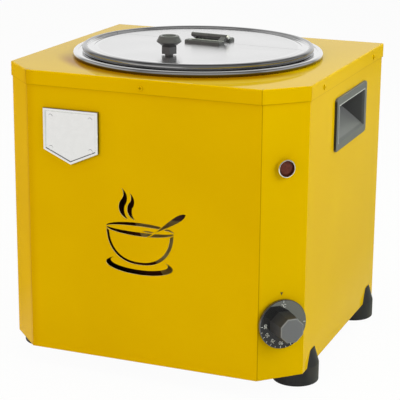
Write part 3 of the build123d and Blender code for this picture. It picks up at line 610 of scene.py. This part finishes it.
# Badge: a die-cast shield, chromed on its face and blackened round its sides, with a raised border. Four
# rivets hold it to the front, and it is left bare.
badge_low, badge_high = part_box("badge_plate")
badge_border = 0.0026
badge_sink = 0.0008
badge_slope = 0.0010
badge_point = 0.0146
badge_soft = 0.0004
flank_from = badge_low.y + badge_sink + 0.0002
flank_soft = 0.0002
chrome_hazy = (0.82, 0.82, 0.82)
chrome_bright = (0.84, 0.84, 0.84)
side_brown = (0.020, 0.014, 0.008)
middle = (badge_low.x + badge_high.x) / 2
shoulder = badge_low.z + badge_point
corners = [(badge_low.x, badge_high.z), (badge_low.x, shoulder), (middle, badge_low.z),
           (badge_high.x, shoulder), (badge_high.x, badge_high.z)]
shield = bmesh.new()
rear = shield.faces.new([shield.verts.new((right, badge_high.y, rise)) for right, rise in corners])
cast = bmesh.ops.extrude_face_region(shield, geom=[rear], use_keep_orig=True)["geom"]
front = [item for item in cast if isinstance(item, bmesh.types.BMFace)]
forward = badge_low.y + badge_soft - badge_high.y
bmesh.ops.translate(shield, vec=(0.0, forward, 0.0), verts=front[0].verts[:])
bmesh.ops.recalc_face_normals(shield, faces=shield.faces[:])
insets = ((badge_soft, badge_soft), (badge_border - badge_soft, 0.0), (badge_slope, -badge_sink))
for width, rise in insets:
    bmesh.ops.inset_individual(shield, faces=front, thickness=width, depth=rise, use_even_offset=True)
badge_chrome, place = finish("badge_chrome", {})
flank = place.axes()[1].between(flank_from, flank_from + flank_soft)
haze = place.noise(160.0, 4.0)
face_chrome = haze.between(0.35, 0.65).mix(chrome_hazy, chrome_bright)
dress(badge_chrome, {
    "Base Color": flank.mix(face_chrome, side_brown),
    "Metallic": 1.0 - flank,
    "Roughness": 0.09 + 0.05 * haze,
})
piece("badge_trim", shield, badge_chrome, "casing", ["badge_plate"], crease=12.0)
wear(badge_chrome, "badge_rivets")


# Inside the casing: the thermostat's and the lamp's moulded cases, the terminal block, the element and
# the leads between them.
cream_plastic = moulded("cream_plastic", (0.52, 0.48, 0.40), 0.4, 1200.0, 0.0001)
brown_sleeve = moulded("brown_sleeve", (0.09, 0.04, 0.02), 0.4, 900.0, 0.0001)
blue_sleeve = moulded("blue_sleeve", (0.02, 0.05, 0.22), 0.4, 900.0, 0.0001)
wear(cream_plastic, "thermostat_body", "terminal_block", "lamp_body")
wear(brown_sleeve, "live_lead", "element_lead", "lamp_lead")
wear(blue_sleeve, "neutral_lead")
wear(plated("earth_brass", (0.70, 0.50, 0.20), 0.25), "earth_stud")
wear(plated("capillary_copper", (0.72, 0.36, 0.22), 0.22), "capillary_tube")
wear(plated("element_sheath", (0.20, 0.18, 0.17), 0.42), "heating_element", "sensor_bulb")


# Studio floor: painted pale, and white to the camera. Mirrored rays meet a painted pool of light in
# front of the casing, painted shade in patches beside it and a painted shadow off the dial's corner.
def rays(tree):
    path = tree.nodes.new("ShaderNodeLightPath")
    return [Field(path.outputs[name]) for name in ("Is Camera Ray", "Is Glossy Ray", "Is Transmission Ray")]


floor_half = 4.0
white_share = 0.96
floor_pale = (0.70, 0.70, 0.70)
beside_painted_shade = (0.15, 0.15, 0.15)
corner_painted_shadow = (0.04, 0.04, 0.04)
corner_line = (0.542, 0.872, 0.0)
bm = bmesh.new()
bmesh.ops.create_grid(bm, x_segments=1, y_segments=1, size=floor_half)
floor_mesh = bpy.data.meshes.new("studio_floor")
bm.to_mesh(floor_mesh)
bm.free()
floor = bpy.data.objects.new("studio_floor", floor_mesh)
bpy.context.scene.collection.objects.link(floor)
floor_paint, place = finish("floor_paint", {"Roughness": 0.9, "Specular IOR Level": 0.0})
tree = floor_paint.node_tree
seen, mirrored, through = rays(tree)
across, ahead = place.axes()[:2]
in_front = ahead.between(0.0, -0.35, 0.0, 0.7) * across.between(0.5, 0.1)
beside = across.between(-0.15, -0.30) + 0.55 * across.between(0.18, 0.26)
beside = beside * ahead.between(-0.15, 0.0)
off_corner = across.between(0.15, 0.22) * place.along(corner_line).between(0.013, 0.009)
off_corner = off_corner * across.between(0.56, 0.48) * ahead.between(-0.42, -0.34)
# Painted shade beside the casing, seen only in reflections.
floor_tone = (mirrored * beside).mix(floor_pale, beside_painted_shade)
# A painted shadow off the dial's corner, seen only in reflections.
dress(floor_paint, {"Base Color": (mirrored * off_corner).mix(floor_tone, corner_painted_shadow)})
white = seen.node("ShaderNodeEmission", {}, {"Color": (1.0, 1.0, 1.0), "Strength": 1.0})
lit = Field(tree.nodes["Principled BSDF"].outputs[0])
# A painted pool of light in front of the casing, seen only in reflections.
share = white_share * seen + mirrored * in_front + white_share * through
mixed = seen.node("ShaderNodeMixShader", {}, {0: share, 1: lit, 2: white})
join(mixed, tree.nodes["Material Output"].inputs["Surface"])
floor_mesh.materials.append(floor_paint)


# Studio surround and lamps: white to the camera. Other rays meet it bright behind the object and dimmer
# elsewhere, and mirrored ones a little brighter at the sides and above. The lamps are large and soft.
view_line = (-0.37, 0.93, 0.0)
world = bpy.data.worlds.new("studio")
bpy.context.scene.world = world
world.use_nodes = True
tree = world.node_tree
seen, mirrored = rays(tree)[:2]
direction = Field(tree.nodes.new("ShaderNodeTexCoord").outputs["Generated"])
away = direction.along(view_line)
height = direction.axes()[2]
surround = away.between(0.54, 0.95, 0.10, 0.92) + away.between(-0.35, -0.80, 0.0, 0.22)
aside = away.between(0.68, 0.52) * away.between(-0.55, -0.40) * height.between(0.6, 0.4)
above = height.between(0.50, 0.80) * away.between(0.10, 0.35)
surround = surround + mirrored * (0.30 * aside + 0.40 * above)
shade = seen.math("MAXIMUM", seen, surround)
background = tree.nodes["Background"]
join(shade.node("ShaderNodeCombineColor", {}, {0: shade, 1: shade, 2: shade}), background.inputs["Color"])
background.inputs["Strength"].default_value = 1.0

lamp_target = Vector((0.0, 0.0, 0.2))
lamps = [
    ("overhead_lamp", (0.1, -0.2, 2.4), 1.6, 28.5, (0.83, 1.0, 0.70)),
    ("front_lamp", (-1.3, -2.5, 1.2), 1.8, 36.5, (1.0, 0.83, 0.77)),
    ("left_lamp", (-1.6, -0.4, 0.6), 0.8, 8.0, (1.0, 1.0, 1.0)),
    ("right_lamp", (1.05, -0.25, 0.72), 0.8, 7.5, (0.97, 1.0, 1.0)),
    ("rear_lamp", (1.0, 1.3, 0.8), 1.0, 10.0, (0.88, 1.0, 0.75)),
]
for name, spot, size, power, color in lamps:
    light = bpy.data.lights.new(name, "AREA")
    light.size = size
    light.energy = power
    light.color = color
    lamp = bpy.data.objects.new(name, light)
    lamp.location = spot
    lamp.rotation_euler = (lamp_target - Vector(spot)).to_track_quat("-Z", "Y").to_euler()
    lamp.visible_glossy = False
    bpy.context.scene.collection.objects.link(lamp)


# Camera: a long lens at the photograph's viewing angle, to the right of the front and a little above
# the lid.
camera_place = (0.6128, -1.5342, 0.6352)
camera_azimuth = 21.65
camera_elevation = 15.86
camera_roll = 0.50
camera_lens = 131.5
sensor_width = 36.0
camera_data = bpy.data.cameras.new("camera")
camera_data.sensor_width = sensor_width
camera_data.lens = camera_lens
camera = bpy.data.objects.new("camera", camera_data)
aim = Euler((radians(90.0 - camera_elevation), 0.0, radians(camera_azimuth))).to_quaternion()
camera.location = camera_place
camera.rotation_euler = (aim @ Quaternion((0.0, 0.0, 1.0), radians(camera_roll))).to_euler()
bpy.context.scene.collection.objects.link(camera)
bpy.context.scene.camera = camera
bpy.context.scene.view_settings.view_transform = "Standard"
